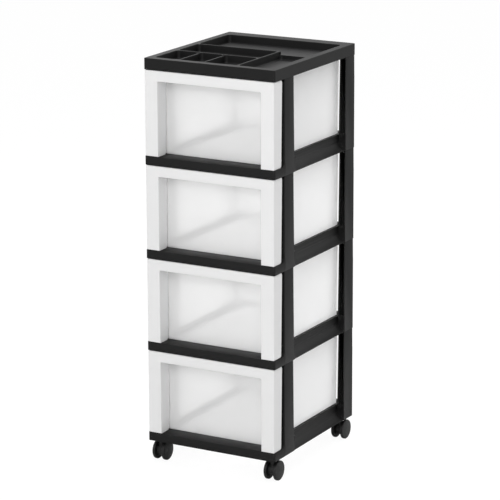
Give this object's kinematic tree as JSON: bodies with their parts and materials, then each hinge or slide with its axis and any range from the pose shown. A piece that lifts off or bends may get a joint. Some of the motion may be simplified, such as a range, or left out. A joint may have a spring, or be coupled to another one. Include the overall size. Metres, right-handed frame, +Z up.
{
  "type": "plastic drawer tower",
  "caption": "Tall rolling storage tower: stacking plastic frames carry pull-out frosted drawers, with a divided organizer tray on top and twin-wheel casters below.",
  "frame": {"origin": "centre of the tower's footprint, on the floor that the wheels stand on", "axes": "+Z up, +X to the right and -Y to the front when facing the drawers"},
  "size_m": [0.31, 0.362, 0.8849],
  "materials": {
    "frame_plastic": "satin black moulded plastic",
    "drawer_plastic": "frosted translucent white moulded plastic",
    "wheel_plastic": "satin black moulded nylon",
    "steel": "plain zinc-plated steel"
  },
  "bodies": {
    "tower": {"organizer_top": "frame_plastic", "frame_1": "frame_plastic", "frame_2": "frame_plastic", "frame_3": "frame_plastic", "frame_4": "frame_plastic", "caster_fl_sleeve": "steel", "caster_fr_sleeve": "steel", "caster_rl_sleeve": "steel", "caster_rr_sleeve": "steel"},
    "drawer_1": {"drawer_1": "drawer_plastic"},
    "drawer_2": {"drawer_2": "drawer_plastic"},
    "drawer_3": {"drawer_3": "drawer_plastic"},
    "drawer_4": {"drawer_4": "drawer_plastic"},
    "swivel_fl": {"caster_fl_hood": "frame_plastic", "caster_fl_stem": "steel", "caster_fl_axle": "steel"},
    "wheel_fl_l": {"caster_fl_wheel_l": "wheel_plastic"},
    "wheel_fl_r": {"caster_fl_wheel_r": "wheel_plastic"},
    "swivel_fr": {"caster_fr_hood": "frame_plastic", "caster_fr_stem": "steel", "caster_fr_axle": "steel"},
    "wheel_fr_l": {"caster_fr_wheel_l": "wheel_plastic"},
    "wheel_fr_r": {"caster_fr_wheel_r": "wheel_plastic"},
    "swivel_rl": {"caster_rl_hood": "frame_plastic", "caster_rl_stem": "steel", "caster_rl_axle": "steel"},
    "wheel_rl_l": {"caster_rl_wheel_l": "wheel_plastic"},
    "wheel_rl_r": {"caster_rl_wheel_r": "wheel_plastic"},
    "swivel_rr": {"caster_rr_hood": "frame_plastic", "caster_rr_stem": "steel", "caster_rr_axle": "steel"},
    "wheel_rr_l": {"caster_rr_wheel_l": "wheel_plastic"},
    "wheel_rr_r": {"caster_rr_wheel_r": "wheel_plastic"}
  },
  "joints": [
    {"name": "drawer_1_slide", "type": "slide", "parent": "tower", "child": "drawer_1", "axis": [0, -1, 0], "range_m": [0, 0.25]},
    {"name": "drawer_2_slide", "type": "slide", "parent": "tower", "child": "drawer_2", "axis": [0, -1, 0], "range_m": [0, 0.25]},
    {"name": "drawer_3_slide", "type": "slide", "parent": "tower", "child": "drawer_3", "axis": [0, -1, 0], "range_m": [0, 0.25]},
    {"name": "drawer_4_slide", "type": "slide", "parent": "tower", "child": "drawer_4", "axis": [0, -1, 0], "range_m": [0, 0.25]},
    {"name": "caster_fl_swivel", "type": "hinge", "parent": "tower", "child": "swivel_fl", "pos_m": [-0.137, -0.1555, 0.045], "axis": [0, 0, 1], "continuous": true},
    {"name": "caster_fl_roll_l", "type": "hinge", "parent": "swivel_fl", "child": "wheel_fl_l", "pos_m": [-0.137, -0.1515, 0.0215], "axis": [1, 0, 0], "continuous": true},
    {"name": "caster_fl_roll_r", "type": "hinge", "parent": "swivel_fl", "child": "wheel_fl_r", "pos_m": [-0.137, -0.1515, 0.0215], "axis": [1, 0, 0], "continuous": true},
    {"name": "caster_fr_swivel", "type": "hinge", "parent": "tower", "child": "swivel_fr", "pos_m": [0.137, -0.1555, 0.045], "axis": [0, 0, 1], "continuous": true},
    {"name": "caster_fr_roll_l", "type": "hinge", "parent": "swivel_fr", "child": "wheel_fr_l", "pos_m": [0.137, -0.1515, 0.0215], "axis": [1, 0, 0], "continuous": true},
    {"name": "caster_fr_roll_r", "type": "hinge", "parent": "swivel_fr", "child": "wheel_fr_r", "pos_m": [0.137, -0.1515, 0.0215], "axis": [1, 0, 0], "continuous": true},
    {"name": "caster_rl_swivel", "type": "hinge", "parent": "tower", "child": "swivel_rl", "pos_m": [-0.137, 0.1555, 0.045], "axis": [0, 0, 1], "continuous": true},
    {"name": "caster_rl_roll_l", "type": "hinge", "parent": "swivel_rl", "child": "wheel_rl_l", "pos_m": [-0.137, 0.1595, 0.0215], "axis": [1, 0, 0], "continuous": true},
    {"name": "caster_rl_roll_r", "type": "hinge", "parent": "swivel_rl", "child": "wheel_rl_r", "pos_m": [-0.137, 0.1595, 0.0215], "axis": [1, 0, 0], "continuous": true},
    {"name": "caster_rr_swivel", "type": "hinge", "parent": "tower", "child": "swivel_rr", "pos_m": [0.137, 0.1555, 0.045], "axis": [0, 0, 1], "continuous": true},
    {"name": "caster_rr_roll_l", "type": "hinge", "parent": "swivel_rr", "child": "wheel_rr_l", "pos_m": [0.137, 0.1595, 0.0215], "axis": [1, 0, 0], "continuous": true},
    {"name": "caster_rr_roll_r", "type": "hinge", "parent": "swivel_rr", "child": "wheel_rr_r", "pos_m": [0.137, 0.1595, 0.0215], "axis": [1, 0, 0], "continuous": true}
  ]
}
